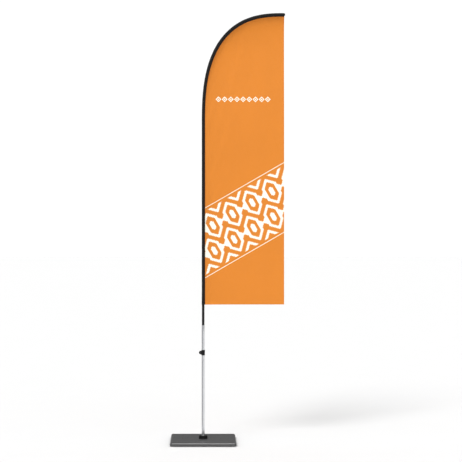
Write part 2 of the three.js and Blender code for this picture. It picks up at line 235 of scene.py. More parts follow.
class Num:
    """A number that varies over a surface, with plain arithmetic made of shader nodes."""

    def __init__(self, tree, socket):
        self.tree, self.socket = tree, socket

    def math(self, operation, *others):
        node = self.tree.nodes.new("ShaderNodeMath")
        node.operation = operation
        for place, value in zip(node.inputs, (self, *others)):
            if isinstance(value, Num):
                self.tree.links.new(value.socket, place)
            else:
                place.default_value = value
        return Num(self.tree, node.outputs[0])

    def __add__(self, other):
        return self.math("ADD", other)

    def __sub__(self, other):
        return self.math("SUBTRACT", other)

    def __mul__(self, other):
        return self.math("MULTIPLY", other)

    def below(self, limit):
        return self.math("LESS_THAN", limit)

    def size(self):
        return self.math("ABSOLUTE")

    def floor(self):
        return self.math("FLOOR")

    def sine(self):
        return self.math("SINE")

    def wrap(self, low, high):
        return self.math("WRAP", high, low)

    def either(self, other):
        return self.math("MAXIMUM", other)

    def spread(self, low, high, to_low=0.0, to_high=1.0):
        """Maps low..high smoothly to to_low..to_high."""
        node = self.tree.nodes.new("ShaderNodeMapRange")
        node.interpolation_type = "SMOOTHSTEP"
        self.tree.links.new(self.socket, node.inputs["Value"])
        limits = {"From Min": low, "From Max": high, "To Min": to_low, "To Max": to_high}
        for place, value in limits.items():
            node.inputs[place].default_value = value
        return Num(self.tree, node.outputs["Result"])


class Surface:
    """A Principled material. Fixed values sit on its sockets, and textures drive the rest."""

    def __init__(self, name, **fixed):
        self.material = bpy.data.materials.new(name)
        self.material.use_nodes = True
        self.tree = self.material.node_tree
        self.shader = self.tree.nodes["Principled BSDF"]
        for key, value in fixed.items():
            socket = key.replace("_", " ").title().replace("Ior", "IOR")
            self.shader.inputs[socket].default_value = value
        self.place = self.tree.nodes.new("ShaderNodeTexCoord").outputs["Object"]

    def on_strip(self):
        """Textures follow the piece's own strip map instead of its place."""
        node = self.tree.nodes.new("ShaderNodeUVMap")
        node.uv_map = "Strip"
        self.place = node.outputs["UV"]
        return self

    def axes(self):
        node = self.tree.nodes.new("ShaderNodeSeparateXYZ")
        self.tree.links.new(self.place, node.inputs[0])
        return [Num(self.tree, socket) for socket in node.outputs]

    def noise(self, scale, detail=3.0, stretch=(1, 1, 1), roughness=0.5):
        """Noise from 0 to 1, scale in cycles a metre."""
        mapping = self.tree.nodes.new("ShaderNodeMapping")
        mapping.inputs["Scale"].default_value = stretch
        self.tree.links.new(self.place, mapping.inputs["Vector"])
        node = self.tree.nodes.new("ShaderNodeTexNoise")
        self.tree.links.new(mapping.outputs[0], node.inputs["Vector"])
        for socket, value in (("Scale", scale), ("Detail", detail), ("Roughness", roughness)):
            node.inputs[socket].default_value = value
        return Num(self.tree, node.outputs["Fac"])

    def edges(self, low=0.5, high=0.62):
        """1 on the piece's outer edges, 0 on its flats."""
        node = self.tree.nodes.new("ShaderNodeNewGeometry")
        return Num(self.tree, node.outputs["Pointiness"]).spread(low, high)

    def blend(self, share, first, second):
        """A colour that goes from first to second as share goes from 0 to 1."""
        node = self.tree.nodes.new("ShaderNodeMix")
        node.data_type = "RGBA"
        self.tree.links.new(share.socket, node.inputs["Factor"])
        for place, value in zip((node.inputs[6], node.inputs[7]), (first, second)):
            if isinstance(value, bpy.types.NodeSocket):
                self.tree.links.new(value, place)
            else:
                place.default_value = (*value, 1)
        return node.outputs[2]

    def colour(self, socket):
        self.tree.links.new(socket, self.shader.inputs["Base Color"])
        return self

    def rough(self, value):
        self.tree.links.new(value.socket, self.shader.inputs["Roughness"])
        return self

    def relief(self, height, depth, strength=1.0):
        """Bump whose height of 1 stands depth metres proud."""
        node = self.tree.nodes.new("ShaderNodeBump")
        node.inputs["Distance"].default_value = depth
        node.inputs["Strength"].default_value = strength
        self.tree.links.new(height.socket, node.inputs["Height"])
        self.tree.links.new(node.outputs[0], self.shader.inputs["Normal"])
        return self


def shades(colour, low, high):
    """The colour made darker and lighter."""
    return tuple(c * low for c in colour), tuple(c * high for c in colour)


def moulded(name, colour, roughness, grain, specular):
    """Moulded plastic: fine grain, faint mottling, rubbed edges and scuffs."""
    made = Surface(name, specular_ior_level=specular)
    mottle = made.noise(40, 4)
    scuffs = made.noise(60, 5, (1, 6, 1), 0.7).spread(0.66, 0.8)
    dust = made.noise(160, 5, roughness=0.7).spread(0.5, 0.8)
    body = made.blend(mottle.spread(0.3, 0.7), *shades(colour, 0.96, 1.04))
    wear = made.edges() * 0.4 + scuffs * 0.2 + dust * 0.15
    made.colour(made.blend(wear, body, shades(colour, 1, 1.8)[1]))
    gloss = made.noise(50, 4).spread(0.25, 0.75, roughness - 0.03, roughness + 0.04)
    made.rough(gloss + scuffs * 0.08)
    return made.relief(made.noise(grain, 3), 0.03 * MM, 0.5).material


def rubber():
    made = Surface("rubber", specular_ior_level=0.3)
    dust = made.noise(90, 5, roughness=0.7).spread(0.5, 0.8)
    made.colour(made.blend(dust, (0.016, 0.016, 0.016), (0.05, 0.047, 0.043)))
    made.rough(made.noise(200, 3).spread(0.3, 0.7, 0.72, 0.92))
    return made.relief(made.noise(1800, 2), 0.04 * MM, 0.5).material


def cast_iron():
    made = Surface("cast_iron", metallic=0.6)
    rust = made.noise(28, 6, roughness=0.7).spread(0.55, 0.72)
    made.colour(made.blend(rust, (0.06, 0.06, 0.062), (0.13, 0.055, 0.026)))
    made.rough(made.noise(120, 4).spread(0.3, 0.7, 0.6, 0.85))
    return made.relief(made.noise(450, 5, roughness=0.7), 0.25 * MM, 0.8).material


def steel():
    """Turned steel: fine rings round the axis and a few dull patches."""
    made = Surface("steel", metallic=1.0)
    dull = made.noise(120, 4).spread(0.4, 0.7)
    made.colour(made.blend(dull, (0.6, 0.61, 0.62), (0.42, 0.42, 0.42)))
    made.rough(made.noise(300, 3, (1, 1, 8)).spread(0.3, 0.7, 0.22, 0.38))
    return made.relief(made.noise(900, 2, (0.05, 0.05, 4)), 0.01 * MM, 0.4).material


def black_steel():
    """Black-oxide steel, a little worn on its edges."""
    made = Surface("black_steel", metallic=0.8)
    mottle = made.noise(400, 4).spread(0.3, 0.7)
    body = made.blend(mottle, (0.018, 0.018, 0.019), (0.03, 0.03, 0.031))
    made.colour(made.blend(made.edges() * 0.6, body, (0.16, 0.16, 0.165)))
    made.rough(made.noise(700, 3).spread(0.3, 0.7, 0.4, 0.55))
    return made.relief(made.noise(2200, 2), 0.01 * MM, 0.4).material


def aluminium():
    """Satin anodised tube: fine lines along it, light scratches and a few dull rings."""
    made = Surface("aluminium", metallic=1.0)
    lines = made.noise(1600, 3, (1, 1, 0.01))
    scratches = made.noise(420, 4, (1, 1, 0.05), 0.7).spread(0.66, 0.74)
    rings = made.noise(30, 5, (0.1, 0.1, 6), 0.7).spread(0.6, 0.8)
    body = made.blend(lines.spread(0.3, 0.7), (0.66, 0.67, 0.69), (0.72, 0.73, 0.75))
    made.colour(made.blend(scratches * 0.4 + rings * 0.2, body, (0.5, 0.5, 0.51)))
    made.rough(lines.spread(0.2, 0.8, 0.2, 0.28) + rings * 0.08)
    return made.relief(lines + scratches * -0.8, 0.012 * MM, 0.5).material


def fibre_tube():
    """Black wound fibre composite under a thin satin resin, with a faint spiral of the tape."""
    made = Surface("fibre_tube", specular_ior_level=0.08)
    x, y, z = made.axes()
    tape_pitch = 22 * MM
    spiral = (z * (TAU / tape_pitch) + y.math("ARCTAN2", x)).sine()
    speck = made.noise(700, 3).spread(0.55, 0.75)
    body = made.blend(spiral.spread(-1, 1), (0.009, 0.009, 0.0095), (0.016, 0.016, 0.0165))
    made.colour(made.blend(speck * 0.5, body, (0.035, 0.035, 0.036)))
    made.rough(made.noise(80, 4, (1, 1, 0.3)).spread(0.3, 0.7, 0.44, 0.56))
    return made.relief(spiral, 0.02 * MM, 0.5).material


def sleeve_cloth():
    """Black elastic cloth: ribs along the sleeve crossed by a fine weft, and a little worn."""
    made = Surface("sleeve_cloth", specular_ior_level=0.1).on_strip()
    around, along, _ = made.axes()
    rib_pitch, weft_pitch = 1.1 * MM, 0.8 * MM
    ribs = (around * (TAU / rib_pitch)).sine()
    weft = (along * (TAU / weft_pitch)).sine()
    wear = made.noise(45, 5, (1, 0.4, 1), 0.6)
    pale = ribs.spread(-1, 1) * 0.5 + wear.spread(0.35, 0.75) * 0.5
    made.colour(made.blend(pale, (0.008, 0.0075, 0.0075), (0.0165, 0.016, 0.0155)))
    made.rough(wear.spread(0.3, 0.7, 0.78, 0.92))
    return made.relief(ribs + weft * 0.6, 0.08 * MM, 0.5).material


ORANGE = (0.5635, 0.1825, 0.0204)
WHITE = (0.8, 0.78, 0.67)
CELL = 6.975 * MM  # one step of the band's pattern
BAND_PLACE = (0.0596, 1.3269)  # (x, z) where the band's pattern starts
BAND_TILT = math.radians(30)


def stepped_band(x, z):
    """1 where the slanted band of stepped lozenges is white. Its measures are in cells."""
    cos, sin = math.cos(BAND_TILT) / CELL, math.sin(BAND_TILT) / CELL
    right, up = x - BAND_PLACE[0], z - BAND_PLACE[1]
    along, across = right * cos + up * sin, right * sin - up * cos

    half_pitch_along, half_pitch_across = 10, 20
    body_width, body_cut, arm_cut = 7, 12.1, 10.1
    ring_width, ring_cut = 4.65, 9.1
    core_width, core_cut = 2, 4.1
    band_middle, band_half, line_place, line_half = 10, 24.3, 26.6, 0.25

    def lozenges(along_shift, across_shift):
        u = (along + along_shift).wrap(-half_pitch_along, half_pitch_along).size()
        v = (across + across_shift).wrap(-half_pitch_across, half_pitch_across).size()
        i, j = u.floor() + 0.5, v.floor() + 0.5
        outline = (i.below(body_width) * (i + j).below(body_cut)).either((i + j).below(arm_cut))
        ring = u.below(ring_width) * (i + j).below(ring_cut)
        return (outline - ring).either(i.below(core_width) * (i + j).below(core_cut))

    middle = (across - band_middle).size()
    every_second = lozenges(half_pitch_along, half_pitch_across)
    pattern = lozenges(0, 0).either(every_second) * middle.below(band_half)
    return pattern.either((middle - line_place).size().below(line_half))


def lozenge_row(x, z, start=0.075, end=0.416, height=2.101, count=9):
    """1 in a level row of small lozenges, each with a cut-out round its core."""
    step = (end - start) / count
    half_width, half_height, cut, core = 0.46 * step, 17 * MM, 0.62, 0.3
    u = (x - (start + step / 2)).wrap(-step / 2, step / 2).size() * (1 / half_width)
    far = u + (z - height).size() * (1 / half_height)
    inside = (x - (start + end) / 2).size().below((end - start) / 2)
    return ((far.below(1) - far.below(cut)) + far.below(core)) * inside


def flag_cloth():
    """Knitted flag polyester: orange dye, a white print with soft edges, and fine knitted loops."""
    made = Surface("flag_cloth", sheen_weight=0.08, sheen_roughness=0.5, specular_ior_level=0.2)
    x, _, z = made.axes()
    wander = (made.noise(900, 2) - 0.5) * (0.5 * MM)
    white = stepped_band(x + wander, z + wander).either(lozenge_row(x + wander, z + wander))
    dye = made.noise(9, 4, (1, 1, 0.6)).spread(0.3, 0.7)
    thread = made.noise(1400, 2, (1, 1, 0.25)).spread(0.3, 0.7)
    orange = made.blend(dye * 0.4 + thread * 0.6, *shades(ORANGE, 0.965, 1.035))
    paint = made.blend(thread, *shades(WHITE, 0.97, 1.0))
    made.colour(made.blend(white, orange, paint))
    made.rough(made.noise(60, 3).spread(0.3, 0.7, 0.76, 0.86))
    loop_width, loop_height = 1.1 * MM, 0.9 * MM
    loops = (x * (TAU / loop_width)).sine() * (z * (TAU / loop_height)).sine()
    return made.relief(loops, 0.05 * MM, 0.4).material


def thread(name, colour):
    """Twisted sewing thread."""
    made = Surface(name, sheen_weight=0.2, specular_ior_level=0.35)
    twist = made.noise(2500, 2, (1, 1, 3))
    made.colour(made.blend(twist, *shades(colour, 0.75, 1.2)))
    made.rough(twist.spread(0.2, 0.8, 0.55, 0.75))
    return made.relief(twist, 0.06 * MM, 0.6).material


BASE_GREY = (0.049, 0.049, 0.05)
BLACK = (0.0055, 0.0055, 0.0058)
MATERIALS = {
    "base_shell": moulded("base_plastic", BASE_GREY, roughness=0.3, grain=1500, specular=0.5),
    "black_moulding": moulded("black_plastic", BLACK, roughness=0.5, grain=2400, specular=0.15),
    "foot_rubber": rubber(),
    "ballast_iron": cast_iron(),
    "steel": steel(),
    "pole_aluminium": aluminium(),
    "pole_black": fibre_tube(),
    "sleeve_fabric": sleeve_cloth(),
    "flag_fabric": flag_cloth(),
}
BLACK_STEEL = black_steel()
BLACK_THREAD = thread("black_thread", (0.018, 0.018, 0.018))
ORANGE_THREAD = thread("orange_thread", ORANGE)


def show(piece, body, slot, *stands_for, material=None):
    """Gives a piece its material and its body, in place of those CAD nodes."""
    piece.data.materials.clear()
    piece.data.materials.append(material or MATERIALS[slot])
    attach(piece, body)
    if stands_for:
        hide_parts(*stands_for)
    return piece


# ---- base ----

BASE_CORNER = 18 * MM
TOP_FILLET = 8 * MM
BOTTOM_FILLET = 3.5 * MM
SHELL = 2.6 * MM
SEAM_CHAMFER = 0.5 * MM
SEAM_SLIT = 0.3 * MM  # between the cover and the pan
HUB_HOLE = 20.3 * MM
SCREW_REACH = 0.12
FOOT_REACH = 0.165
FOUR_WAYS = ((1, 1), (-1, 1), (-1, -1), (1, -1))


def square_ring(half, corner, z, side_steps=14, corner_steps=12):
    """Points round a square with rounded corners."""
    flat = half - corner
    bend = np.arange(corner_steps) * math.pi / 2 / corner_steps
    side = [(half, y) for y in np.linspace(-flat, flat, side_steps, endpoint=False)]
    side += [(flat + corner * math.cos(a), flat + corner * math.sin(a)) for a in bend]
    points = []
    for quarter in range(4):
        cos, sin = math.cos(quarter * math.pi / 2), math.sin(quarter * math.pi / 2)
        points += [(x * cos - y * sin, x * sin + y * cos, z) for x, y in side]
    return np.array(points)


def round_like(ring, radius, z):
    """The ring's points drawn in to a circle."""
    flat = ring[:, :2] / np.linalg.norm(ring[:, :2], axis=1)[:, None] * radius
    return np.column_stack([flat, np.full(len(ring), z)])


def between(first, last, shares):
    return [first + (last - first) * share for share in shares]


def inset_square(half, inset, z):
    return square_ring(half - inset, max(BASE_CORNER - inset, 3 * MM), z)


def fillet(half, radius, z, sign):
    """Rings over a rounded rim, from the wall at height z to the flat."""
    turns = np.linspace(0, math.pi / 2, 9)
    steps = [(radius * (1 - math.cos(a)), z + sign * radius * math.sin(a)) for a in turns]
    return [inset_square(half, inset, height) for inset, height in steps]


def base_cover():
    low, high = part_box("base_cover")
    half, top = high.x, high.z
    rings = [inset_square(half, SEAM_CHAMFER, low.z), inset_square(half, 0, low.z + SEAM_CHAMFER)]
    rings += fillet(half, TOP_FILLET, top - TOP_FILLET, 1)
    hole = round_like(rings[-1], HUB_HOLE, top)
    rings += between(rings[-1], hole, (0.02, 0.2, 0.5, 0.8, 0.97, 1))
    under = round_like(rings[-1], HUB_HOLE, top - SHELL)
    roof = inset_square(half, TOP_FILLET, top - SHELL)
    rings += between(under, roof, (0, 0.5, 1))
    rings += [inset_square(half, SHELL, top - TOP_FILLET), inset_square(half, SHELL, low.z)]
    return skin("base_cover_shell", rings, loop=True)


def base_pan():
    low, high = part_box("base_pan")
    half, seam, floor = high.x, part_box("base_cover")[0].z - SEAM_SLIT, low.z + 3.7 * MM
    plug_hole, well_radius, well_depth = 9 * MM, 3.6 * MM, 5 * MM
    rings = [inset_square(half, SEAM_CHAMFER, seam), inset_square(half, 0, seam - SEAM_CHAMFER)]
    rings += fillet(half, BOTTOM_FILLET, low.z + BOTTOM_FILLET, -1)
    rings += between(rings[-1], round_like(rings[-1], plug_hole, low.z), (0.02, 0.5, 0.97, 1))
    inside = inset_square(half, SHELL, floor)
    rings += between(round_like(inside, plug_hole, floor), inside, (0, 0.5, 1))
    rings += [inset_square(half, SHELL, seam)]
    pan = skin("base_pan_shell", rings, loop=True)
    for x, y in FOUR_WAYS:
        well = [(0, 0), (well_radius, 0), (well_radius, well_depth), (0, well_depth)]
        tool = turned("tool", well, 0, 32, False)
        carve(pan, shift(tool, x * SCREW_REACH, y * SCREW_REACH))
    soften(pan)
    return pan


def socket_screw(name, head, head_height, shank, length, z=0.0):
    """A socket-head screw along +Z, its head's face at the bottom. Rings stand for its thread."""
    bevel, socket, half_pitch = 0.12 * head, 0.5 * head, 0.25 * MM
    rings = [hexagon(socket, head_height * 0.6), hexagon(socket, bevel * 0.3)]
    rings += [hexagon(head * 0.54, 0), circle(head - bevel, 0, 48)]
    rings += [circle(head - 0.3 * bevel, 0.3 * bevel, 48), circle(head, bevel, 48)]
    rings += [circle(head, head_height, 48), circle(shank, head_height, 48)]
    turns = np.arange(head_height, length, half_pitch)
    rings += [circle(shank * (1 - 0.05 * (k % 2)), height, 48) for k, height in enumerate(turns)]
    rings += [circle(shank * 0.7, length, 48)]
    return shift(skin(name, rings), z=z)


def foot(name, radius):
    """A rubber pad with two shallow grip grooves in its face."""
    height, groove_depth, groove_half, groove_floor = 2 * MM, 0.5 * MM, 0.6 * MM, 0.3 * MM
    profile = [(0, 0)]
    for groove in (0.35, 0.65):
        middle = radius * groove
        profile += [(middle - groove_half, 0), (middle - groove_floor, groove_depth)]
        profile += [(middle + groove_floor, groove_depth), (middle + groove_half, 0)]
    profile += [(radius, 0), (radius, height), (0, height)]
    return turned(name, profile, 0.4 * MM, 64, False)


def build_base():
    show(base_cover(), "base", "base_shell", "base_cover")
    show(base_pan(), "base", "base_shell", "base_pan")
    for i, (x, y) in enumerate(FOUR_WAYS, 1):
        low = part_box(f"cover_screw_{i}")[0].z
        piece = socket_screw(
            f"base_screw_{i}", head=3.2 * MM, head_height=2.1 * MM,
            shank=1.5 * MM, length=13.5 * MM, z=low,
        )
        show(shift(piece, x * SCREW_REACH, y * SCREW_REACH), "base", "steel", f"cover_screw_{i}")
        piece = shift(foot(f"foot_pad_{i}", radius=12 * MM), x * FOOT_REACH, y * FOOT_REACH)
        show(piece, "base", "foot_rubber", f"rubber_foot_{i}")
    show(foot("plug_pad", radius=14 * MM), "base", "foot_rubber", "centre_plug")


# ---- hub and spindle ----


def build_hub():
    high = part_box("hub_housing")[1]
    radius, top, low, foot_z = high.x, high.z, 21.3 * MM, 6.5 * MM
    seat, boss, land, land_low, land_high = 14.2 * MM, 20 * MM, 12.4 * MM, 18.4 * MM, 27.6 * MM
    waist, bead, slope, dish = radius - 0.5 * MM, 3 * MM, 3.6 * MM, 0.8 * MM
    collar = turned("hub_collar", [
        (seat, foot_z), (boss, foot_z), (boss, low), (radius, low), (radius, low + bead),
        (waist, low + slope), (waist, top - slope), (radius, top - bead),
        (radius, top), (seat + 4 * MM, top), (seat + 2.5 * MM, top - dish), (seat, top - dish),
        (seat, land_high), (land, land_high), (land, land_low), (seat, land_low),
    ], 0.9 * MM, 96)
    show(collar, "base", "black_moulding", "hub_housing")
    low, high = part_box("dust_seal")
    bore, groove = 8.5 * MM, high.z - 0.6 * MM
    seal = turned("hub_seal", [
        (bore, low.z), (high.x, low.z), (high.x, high.z), (12 * MM, high.z), (11.4 * MM, groove),
        (9.6 * MM, groove), (9 * MM, high.z), (bore, high.z),
    ], 0.25 * MM, 96)
    show(seal, "base", "foot_rubber", "dust_seal")


def build_spindle():
    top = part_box("spindle")[1].z
    low, neck_low, flange_low, flange_high = 10.2 * MM, 36.1 * MM, 39.4 * MM, 40.6 * MM
    bore, shaft, neck, flange, spigot = 2.6 * MM, 5.8 * MM, 8 * MM, 10.5 * MM, 7.8 * MM
    groove, ring_middle, cord = 6.6 * MM, 7.28 * MM, 0.6 * MM
    profile = [(0, 36 * MM), (bore, 34.5 * MM), (bore, low), (shaft, low), (shaft, neck_low)]
    profile += [(neck, neck_low), (neck, flange_low), (flange, flange_low), (flange, flange_high)]
    profile += [(spigot, flange_high)]
    for i in (1, 2, 3):
        z = sum(corner.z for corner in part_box(f"o_ring_{i}")) / 2
        profile += [(spigot, z - MM), (groove, z - MM), (groove, z + MM), (spigot, z + MM)]
        turns = np.arange(10) * TAU / 10
        section = [(ring_middle + cord * math.cos(a), z + cord * math.sin(a)) for a in turns]
        show(turned(f"spindle_o_ring_{i}", section, 0), "rotor", "foot_rubber", f"o_ring_{i}")
    profile += [(spigot, top - 2 * MM), (6.3 * MM, top), (0, top)]
    show(turned("hub_spindle", profile, 0.25 * MM, 96, False), "rotor", "steel", "spindle")


# ---- mast ----


def tube(name, node, radius, bore, lip=0.4 * MM):
    """A round tube in a node's place, its ends deburred."""
    low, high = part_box(node)
    heights = np.linspace(low.z, high.z, 12)
    profile = [(bore, low.z), (radius, low.z)] + [(radius, z) for z in heights[1:-1]]
    profile += [(radius, high.z), (bore, high.z)]
    return turned(name, profile, lip, 96)


def build_mast():
    silver = tube("silver_pole", "lower_pole", radius=9 * MM, bore=8.1 * MM)
    show(silver, "lower_mast", "pole_aluminium", "lower_pole")
    black = tube("black_pole", "middle_pole", radius=7.9 * MM, bore=6.5 * MM)
    show(black, "upper_mast", "pole_black", "middle_pole")
    low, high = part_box("tip_cap")
    inner, bore_end, flange = low.x + 0.3 * MM, 494.3 * MM, 497.3 * MM
    bore, plug, rim, face = 2.8 * MM, 4.8 * MM, 7.2 * MM, 6 * MM
    cap = turned("arch_tip_cap", [
        (0, bore_end), (bore, bore_end), (bore, inner), (plug, inner), (plug, flange),
        (rim, flange), (rim, high.x - 1.2 * MM), (face, high.x), (0, high.x),
    ], 0.5 * MM, 64, False)
    show(shift(lay_along(cap, "x"), z=ARC_TOP_Z), "upper_mast", "black_moulding", "tip_cap")


def curve_between(start, pull, end, steps=8):
    start, pull, end = map(np.array, (start, pull, end))
    shares = np.linspace(0, 1, steps)
    return [(1 - s) ** 2 * start + 2 * s * (1 - s) * pull + s * s * end for s in shares]


def lug_outline(half, lug_x, nose, lean=0.75 * math.pi / 2):
    """A round nose that flares to the collar's full height, as seen from the front."""
    corner = (lug_x + nose * math.cos(lean), nose * math.sin(lean))
    upper = curve_between((-5 * MM, half), (-8 * MM, half), corner)
    turns = np.linspace(lean, TAU - lean, 33)
    arc = [(lug_x + nose * math.cos(a), nose * math.sin(a)) for a in turns]
    lower = [(x, -z) for x, z in reversed(upper)]
    return [(0, half), *upper, *arc[1:-1], *lower, (0, -half)]


def build_clamp():
    low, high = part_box("clamp_body")
    middle, half = (low.z + high.z) / 2, (high.z - low.z) / 2
    lug_x, depth, ring = -15.6 * MM, 8 * MM, 10.5 * MM
    core, lip, bore, lip_height, slope = 2 * MM, ring + MM, 9.3 * MM, 3.5 * MM, 4.1 * MM
    body = turned("pole_clamp", [
        (core, -half), (lip, -half), (lip, lip_height - half), (ring, slope - half),
        (ring, half - slope), (lip, half - lip_height), (lip, half), (core, half),
    ], 0.6 * MM, 96)
    lug = prism("tool", lug_outline(half, lug_x, nose=10.3 * MM), -depth, depth)
    sharp_edges = {"limit_method": "ANGLE", "angle_limit": math.radians(50)}
    modify(lug, "BEVEL", width=MM, segments=3, **sharp_edges)
    carve(body, lug, "UNION")

    def drill(radius, start, end):
        tool = turned("tool", [(0, start), (radius, start), (radius, end), (0, end)], 0, 48, False)
        carve(body, shift(lay_along(tool, "y"), x=lug_x))

    above, left, beside = 30 * MM, -50 * MM, 20 * MM  # these are beyond the clamp
    slit_half, screw_hole, head_hole, nut_hole = 1.2 * MM, 2.3 * MM, 4 * MM, 4.3 * MM
    outline = [(0, -above), (bore, -above), (bore, above), (0, above)]
    carve(body, turned("tool", outline, 0, 96, False))
    slit = [(left, -above), (0, -above), (0, above), (left, above)]
    carve(body, prism("tool", slit, -slit_half, slit_half))
    drill(screw_hole, -beside, beside)
    drill(head_hole, -beside, 1.7 * MM - depth)
    pocket = skin("tool", [hexagon(nut_hole, depth - 2.6 * MM), hexagon(nut_hole, beside)])
    carve(body, shift(lay_along(pocket, "y"), x=lug_x))
    modify(body, "BEVEL", width=0.25 * MM, segments=2, **sharp_edges)
    soften(body, 30)
    modify(body, "WEIGHTED_NORMAL", keep_sharp=True)
    show(shift(body, z=middle), "clamp", "black_moulding", "clamp_body")

    screw = socket_screw(
        "pole_clamp_screw", head=3.6 * MM, head_height=2 * MM, shank=2 * MM, length=15.6 * MM
    )
    shift(lay_along(screw, "y"), lug_x, -depth - 0.6 * MM, middle)
    show(screw, "clamp", "steel", "clamp_screw", material=BLACK_STEEL)
    hole, height, bevel = 2.2 * MM, 2.2 * MM, 0.25 * MM
    nut = skin("pole_clamp_nut", [
        circle(hole, 0, 48), hexagon(3.8 * MM, 0), hexagon(4 * MM, bevel),
        hexagon(4 * MM, height - bevel), hexagon(3.8 * MM, height), circle(hole, height, 48),
    ], loop=True)
    shift(lay_along(nut, "y"), lug_x, depth - 2.3 * MM, middle)
    show(nut, "clamp", "steel", "clamp_nut", material=BLACK_STEEL)


# ---- sleeve ----

FLANGE_GAP = 0.6 * MM  # from the sleeve's wall to its sewn edge
FLANGE = 2.3 * MM  # how far the sleeve's sewn edge reaches over the flag
SLEEVE_SIDES = 44
CUFF = 22 * MM  # the height of the doubled cloth at the sleeve's foot


def ripple(along, angle):
    """Outward creases of the sleeve, in metres: coarse bunches with finer ones over them."""
    slant = noise.noise(Vector((along * 38, angle * 0.9, 3)))
    fine = noise.noise(Vector((along * 110, angle * 1.6, 8)))
    return max(0.0, 0.55 * slant + 0.25 * fine + 0.1) * MM


def sleeve_section(station, normal, along, turn):
    """Points round the sleeve: over the mast, then the sewn edge on the flag's side."""
    width, depth = sleeve_half(turn)
    cuff = 0.5 * MM * (1 - smooth_step(along, CUFF, CUFF + 2 * MM))
    opening = math.radians(24)
    points = []
    for angle in np.linspace(opening, TAU - opening, SLEEVE_SIDES - 4):
        swell = ripple(along, angle) * min(1, (1 - math.cos(angle)) * 1.5) + cuff
        points.append((-(width + swell) * math.cos(angle), (depth + swell) * math.sin(angle)))
    inner, thick, thin = -(width + FLANGE_GAP), 0.9 * MM, 0.75 * MM
    outer = inner - FLANGE
    edge = [(inner, -thick), (outer, -thin), (outer, thin), (inner, thick)]
    ring = [(station[0] + normal[0] * a, y, station[1] + normal[1] * a) for a, y in points + edge]
    return np.array(ring)


def build_sleeve():
    points, normals, along, turn = mast_line(5 * MM)
    rings = [sleeve_section(*station) for station in zip(points, normals, along, turn)]
    map_width = 62 * MM  # the texture's strip, a little wider than the tube's way round
    around = np.linspace(0, map_width, SLEEVE_SIDES + 1)
    sleeve = skin("sleeve_cloth_tube", rings, caps=False, uv=(around, along), sharp=60)
    modify(sleeve, "SOLIDIFY", thickness=0.45 * MM, offset=-1)
    soften(sleeve, 60)
    show(sleeve, "upper_mast", "sleeve_fabric", "pole_sleeve")
    return sleeve, along[-1]


# ---- flag ----

FLAG_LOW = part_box("flag_panel")[0].z
SEAM_GAP = 0.5 * MM  # from the sleeve to the cloth's cut edge
SPACING = 13 * MM  # between the cloth's points
BILLOW = 18 * MM  # how deep the wind may push the cloth, softly
WIND = 2.0  # the cloth's pressure
FRAMES = 24


def seam_line(spacing, reach):
    """(x, z) points along the sleeve's inner side, at a distance beyond it."""
    points, normals, _, turn = mast_line(spacing)
    width, _ = sleeve_half(turn)
    return points - normals * (width + reach)[:, None]


def flag_outline():
    seam = seam_line(SPACING, SEAM_GAP)
    seam[0, 1], seam[-1, 0] = FLAG_LOW, FLAG_RIGHT
    down = np.arange(seam[-1, 1] - SPACING, FLAG_LOW + SPACING / 2, -SPACING)
    back = np.arange(FLAG_RIGHT - SPACING, seam[0, 0] + SPACING / 2, -SPACING)
    right = [(FLAG_RIGHT, z) for z in down]
    bottom = [(FLAG_RIGHT, FLAG_LOW)] + [(x, FLAG_LOW) for x in back]
    return seam, np.array([*seam, *right, *bottom])


def cloth_mesh():
    """The flag's flat cut as even triangles, and which of its points are sewn to the sleeve."""
    seam, outline = flag_outline()
    row = SPACING * math.sqrt(3) / 2
    inner = []
    for r, z in enumerate(np.arange(FLAG_LOW + row, ARC_TOP_Z, row)):
        for x in np.arange(seam[0, 0] + SPACING / 2 * (1 + r % 2), FLAG_RIGHT, SPACING):
            if z < np.interp(x, seam[:, 0], seam[:, 1]):
                inner.append((x, z))
    inner = np.array(inner)
    away = np.array([np.min(np.linalg.norm(outline - p, axis=1)) for p in inner])
    inner = inner[away > 0.6 * SPACING]
    flat = [Vector(p) for p in np.concatenate([outline, inner])]
    points, _, faces, *_ = geometry.delaunay_2d_cdt(flat, [], [list(range(len(outline)))], 1, 1e-7)
    cloth = mesh_piece("flag_cloth_panel", [(p.x, 0, p.y) for p in points], faces, sharp=180)
    return cloth, seam


def from_seam(rest, seam):
    """How far each of the cloth's points is from the seam."""
    return np.array([np.min(np.linalg.norm(seam - (p[0], p[2]), axis=1)) for p in rest])


def simulate(cloth, seam):
    """Lets the sewn cloth hang and fill in a light wind from the front."""
    rest = np.array([v.co for v in cloth.data.vertices])
    group = cloth.vertex_groups.new(name="sewn")
    sewn = np.nonzero(from_seam(rest, seam) < 0.5 * SPACING)[0]
    group.add([int(i) for i in sewn], 1.0, "REPLACE")
    modifier = cloth.modifiers.new("cloth", "CLOTH")
    settings = modifier.settings
    settings.quality = 6
    settings.mass = 0.12
    settings.tension_stiffness = settings.compression_stiffness = 40
    settings.shear_stiffness = 20
    settings.bending_stiffness = 0.6
    settings.air_damping = 3
    settings.vertex_group_mass = "sewn"
    settings.use_pressure = True
    settings.uniform_pressure_force = WIND
    modifier.collision_settings.use_collision = False
    modifier.point_cache.frame_end = FRAMES
    for step in range(1, FRAMES + 1):
        bpy.context.scene.frame_set(step)
    settle(cloth)
    bpy.context.scene.frame_set(1)
    moved = np.array([v.co for v in cloth.data.vertices]) - rest
    return rest, moved


def soft_limit(value, limit):
    return limit * (1 - np.exp(-value / limit))


